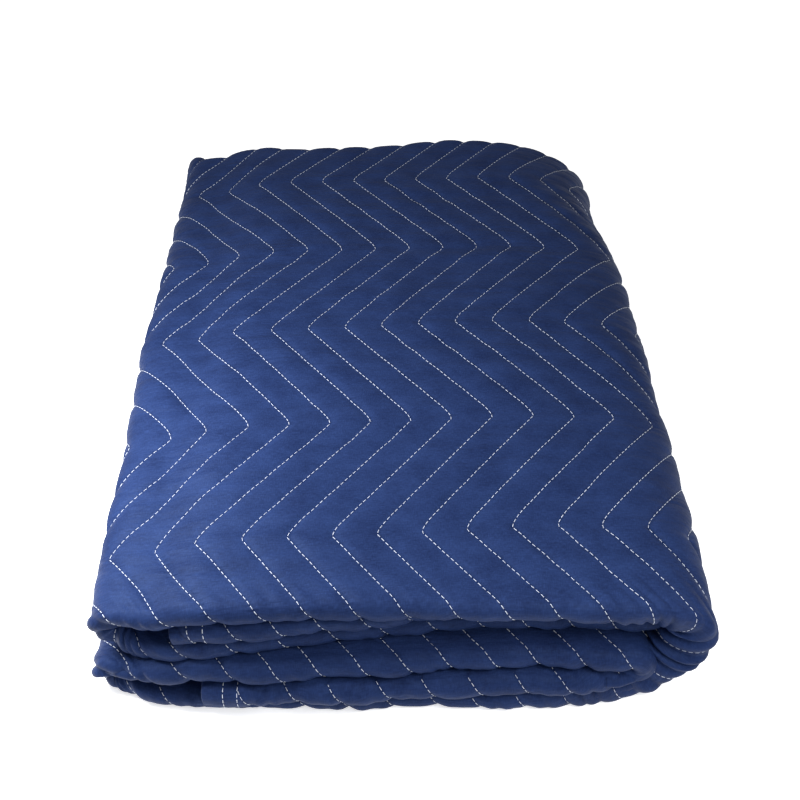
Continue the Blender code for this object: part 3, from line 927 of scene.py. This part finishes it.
def cloth_material():
    """Satiny navy weave: fine crosswise yarns, soft mottling, and puckers drawn in by the stitches; painted shade
    darkens the colour along the stitch valleys, and the puckers' light and shade is painted into the colour.
    """
    material = bpy.data.materials.new("navy_satin_weave")
    material.use_nodes = True
    tree = material.node_tree
    shader = tree.nodes["Principled BSDF"]
    shader.inputs["Roughness"].default_value = 0.60
    shader.inputs["Specular IOR Level"].default_value = 0.09
    shader.inputs["Specular Tint"].default_value = (0.50, 0.68, 1.0, 1.0)
    shader.inputs["Sheen Weight"].default_value = 0.01
    shader.inputs["Sheen Roughness"].default_value = 0.40
    shader.inputs["Sheen Tint"].default_value = (0.30, 0.48, 1.0, 1.0)
    yarns = noise_of(tree, "cloth", (260.0, 1500.0), 3.0)
    warp = noise_of(tree, "cloth", (1700.0, 500.0), 2.0)
    mottle = noise_of(tree, "cloth", (46.0, 70.0), 5.0)
    creases = noise_of(tree, "cloth", (26.0, 230.0), 3.0)
    patches = noise_of(tree, "cloth", (15.0, 21.0), 1.0)
    puckers = noise_of(tree, "quilt", (2.2, 330.0), 2.0)

    # How near a point is to a stitch line, from 0 between the lines to 1 on a line
    quilt = node(tree, "ShaderNodeUVMap", uv_map="quilt")
    parts = node(tree, "ShaderNodeSeparateXYZ")
    tree.links.new(quilt.outputs["UV"], parts.inputs["Vector"])
    folded = math_of(tree, "PINGPONG", parts.outputs["X"], 0.5)
    near = math_of(tree, "SUBTRACT", 1.0, math_of(tree, "MULTIPLY", folded, 2.0))
    beside = math_of(tree, "POWER", near, 3.0)
    # Mask of the painted shade that darkens the colour right along the stitch lines
    sewn_line_shade = math_of(tree, "POWER", near, 14.0)

    weave = math_of(tree, "MULTIPLY", yarns, warp)
    shade = math_of(tree, "MULTIPLY_ADD", mottle, 0.55, weave)
    # Painted shade: the colour is darkened along the stitch lines, where the sewn-down valleys lie in shade
    shade = math_of(tree, "MULTIPLY_ADD", sewn_line_shade, -0.32, shade)
    # Painted light and shade: the colour gets lighter and darker with the puckers beside the stitch lines
    shade = math_of(tree, "MULTIPLY_ADD", math_of(tree, "MULTIPLY", puckers, beside), 0.25, shade)
    ramp = node(tree, "ShaderNodeValToRGB")
    ramp.color_ramp.elements[0].position = 0.25
    ramp.color_ramp.elements[0].color = (0.0054, 0.0112, 0.043, 1.0)
    ramp.color_ramp.elements[1].position = 0.85
    ramp.color_ramp.elements[1].color = (0.0140, 0.0285, 0.094, 1.0)
    tree.links.new(shade, ramp.inputs["Fac"])
    tree.links.new(ramp.outputs["Color"], shader.inputs["Base Color"])

    # Heights in metres
    height = math_of(tree, "MULTIPLY", weave, 0.00013)
    height = math_of(tree, "MULTIPLY_ADD", math_of(tree, "MULTIPLY", creases, patches), 0.0016, height)
    height = math_of(tree, "MULTIPLY_ADD", math_of(tree, "MULTIPLY", puckers, beside), 0.0011, height)
    bump = node(tree, "ShaderNodeBump")
    bump.inputs["Strength"].default_value = 1.0
    bump.inputs["Distance"].default_value = 1.0
    tree.links.new(height, bump.inputs["Height"])
    tree.links.new(bump.outputs["Normal"], shader.inputs["Normal"])
    return material


def thread_material():
    material = bpy.data.materials.new("white_thread")
    material.use_nodes = True
    tree = material.node_tree
    shader = tree.nodes["Principled BSDF"]
    shader.inputs["Roughness"].default_value = 0.6
    shader.inputs["Sheen Weight"].default_value = 0.2
    place = node(tree, "ShaderNodeTexCoord")
    twist = node(tree, "ShaderNodeTexNoise")
    twist.inputs["Scale"].default_value = 900.0
    ramp = node(tree, "ShaderNodeValToRGB")
    ramp.color_ramp.elements[0].color = (0.30, 0.35, 0.46, 1.0)
    ramp.color_ramp.elements[1].color = (0.66, 0.69, 0.76, 1.0)
    tree.links.new(place.outputs["Object"], twist.inputs["Vector"])
    tree.links.new(twist.outputs["Fac"], ramp.inputs["Fac"])
    tree.links.new(ramp.outputs["Color"], shader.inputs["Base Color"])
    return material


def floor_material():
    material = bpy.data.materials.new("pale_floor")
    material.use_nodes = True
    shader = material.node_tree.nodes["Principled BSDF"]
    shader.inputs["Base Color"].default_value = (0.96, 0.96, 0.96, 1.0)
    shader.inputs["Roughness"].default_value = 0.7
    shader.inputs["Specular IOR Level"].default_value = 0.1
    shader.inputs["Emission Color"].default_value = (1.0, 1.0, 1.0, 1.0)
    shader.inputs["Emission Strength"].default_value = 0.54
    return material


def build_floor():
    mesh = bpy.data.meshes.new("floor")
    reach = 6.0                     # either way from the middle
    mesh.from_pydata([(-reach, -reach, 0.0), (reach, -reach, 0.0), (reach, reach, 0.0), (-reach, reach, 0.0)], [],
                     [(0, 1, 2, 3)])
    mesh.update()
    floor = bpy.data.objects.new("floor", mesh)
    bpy.context.scene.collection.objects.link(floor)
    mesh.materials.append(floor_material())


CAMERA_PLACE = (0.0055, -0.4874, 0.5237)
CAMERA_PITCH = 46.35            # degrees below level
LENS = 42.75                    # millimetres on a sensor 36 mm wide


def build_camera():
    data = bpy.data.cameras.new("camera")
    data.lens = LENS
    data.sensor_width = 36.0
    data.clip_start = 0.01
    camera = bpy.data.objects.new("camera", data)
    camera.location = CAMERA_PLACE
    camera.rotation_euler = (math.radians(90.0 - CAMERA_PITCH), 0.0, 0.0)
    bpy.context.scene.collection.objects.link(camera)
    bpy.context.scene.camera = camera


# Soft boxes: place, what they point at, size, watts
LIGHTS = (
    ("key", (-0.27, -0.13, 0.29), (-0.13, -0.13, 0.08), 0.16, 2.9),
    ("fill", (0.20, -0.30, 0.34), (0.10, -0.18, 0.07), 0.16, 1.1),
)


def build_lights():
    for name, place, target, size, watts in LIGHTS:
        data = bpy.data.lights.new(name, "AREA")
        data.size = size
        data.energy = watts
        lamp = bpy.data.objects.new(name, data)
        lamp.location = place
        direction = Vector(target) - Vector(place)
        lamp.rotation_euler = direction.to_track_quat("-Z", "Y").to_euler()
        lamp.visible_camera = False
        bpy.context.scene.collection.objects.link(lamp)
    world = bpy.data.worlds.new("studio")
    world.use_nodes = True
    background = world.node_tree.nodes["Background"]
    background.inputs["Color"].default_value = (1.0, 1.0, 1.0, 1.0)
    background.inputs["Strength"].default_value = 0.56
    bpy.context.scene.world = world
    bpy.context.scene.view_settings.view_transform = "Standard"


def main():
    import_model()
    build_camera()
    build_lights()
    build_floor()
    lattice = Lattice()
    outer, inner, normal = build_surfaces(lattice)
    cloth = build_cloth(lattice, outer, inner)
    cloth.data.materials.append(cloth_material())
    thread = thread_material()
    quilting_thread = build_thread("quilting_thread", shown_pieces(lattice, thread_lines(lattice, outer, normal)),
                                   STITCH_LENGTH, THREAD_SHOWN)
    hem_thread = build_thread("hem_thread", hem_lines(lattice, outer, normal), STITCH_LENGTH, THREAD_SHOWN)
    for piece in (quilting_thread, hem_thread):
        piece.data.materials.append(thread)
    for piece in (cloth, quilting_thread, hem_thread):
        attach(piece, "root")
    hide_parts("quilted_blanket")


main()
